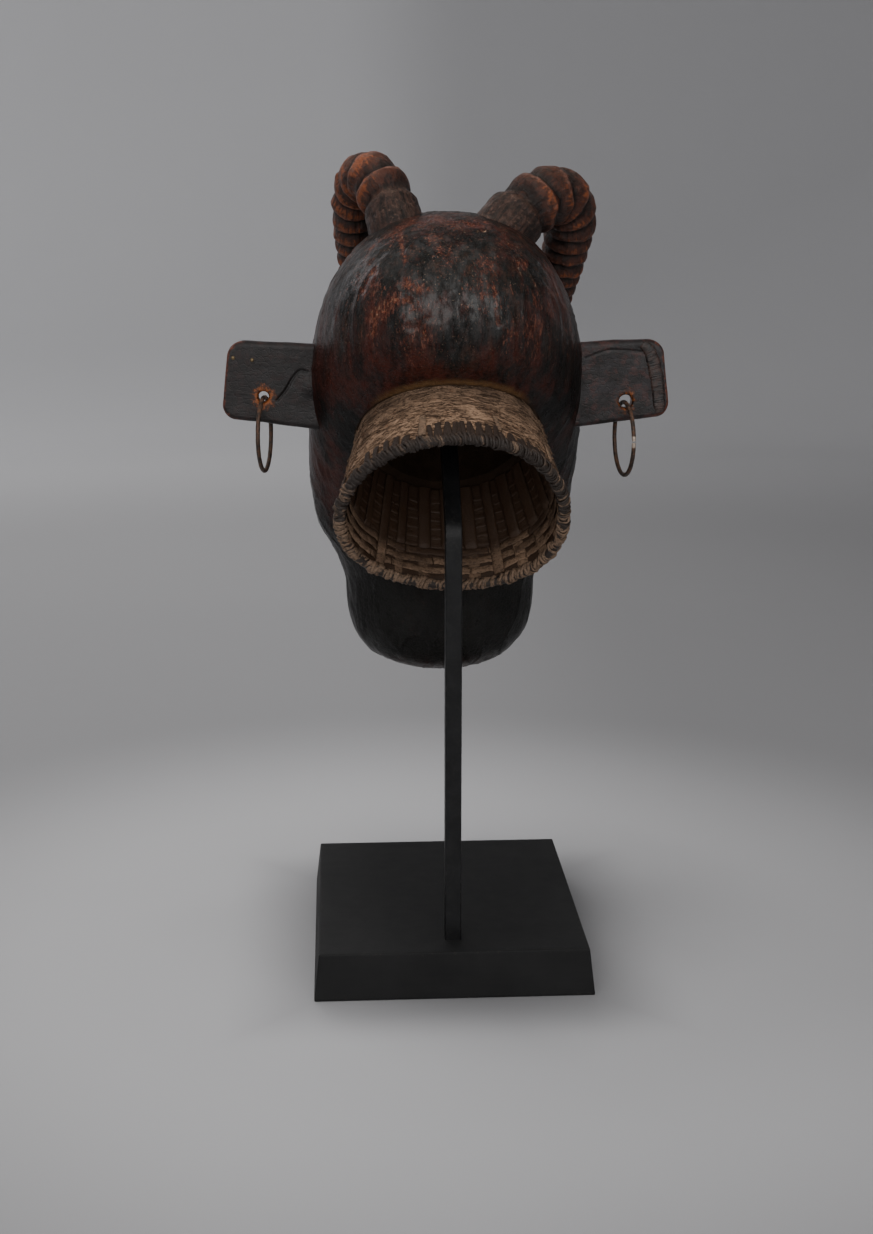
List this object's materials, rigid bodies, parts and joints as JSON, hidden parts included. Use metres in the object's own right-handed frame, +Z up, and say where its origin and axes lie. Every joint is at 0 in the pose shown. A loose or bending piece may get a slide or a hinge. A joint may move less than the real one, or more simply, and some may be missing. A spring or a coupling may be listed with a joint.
{
  "type": "horned wooden cap mask on a display stand",
  "caption": "Carved wooden head with ridged horns, plank ears with wire rings and a woven cap behind, held on a bent bar over a painted block.",
  "frame": {"origin": "centre of the underside of the stand's block", "axes": "+Z up, the carved face looks along -Y, +X is the mask's own left"},
  "size_m": [0.3318, 0.3044, 0.607],
  "materials": {
    "head_hide": "blackened hide over carved wood, worn red-brown, semi gloss",
    "ear_wood": "blackened wood, worn edges, satin",
    "horn_wood": "carved ridges worn orange-brown over dark grooves, satin",
    "cane_splint": "dry woven splints, rough",
    "cane_binding": "closely wrapped splints, rough",
    "iron_wire": "dull rusted iron wire",
    "stand_steel": "black satin paint on steel bar",
    "stand_block": "matt black paint on wood"
  },
  "bodies": {
    "root": {"mask_head": "head_hide", "left_ear": "ear_wood", "right_ear": "ear_wood", "left_horn": "horn_wood", "right_horn": "horn_wood", "cap_basket": "cane_splint", "cap_rim": "cane_binding", "left_ear_ring": "iron_wire", "right_ear_ring": "iron_wire", "stand_rod": "stand_steel", "stand_base": "stand_block"}
  },
  "joints": []
}
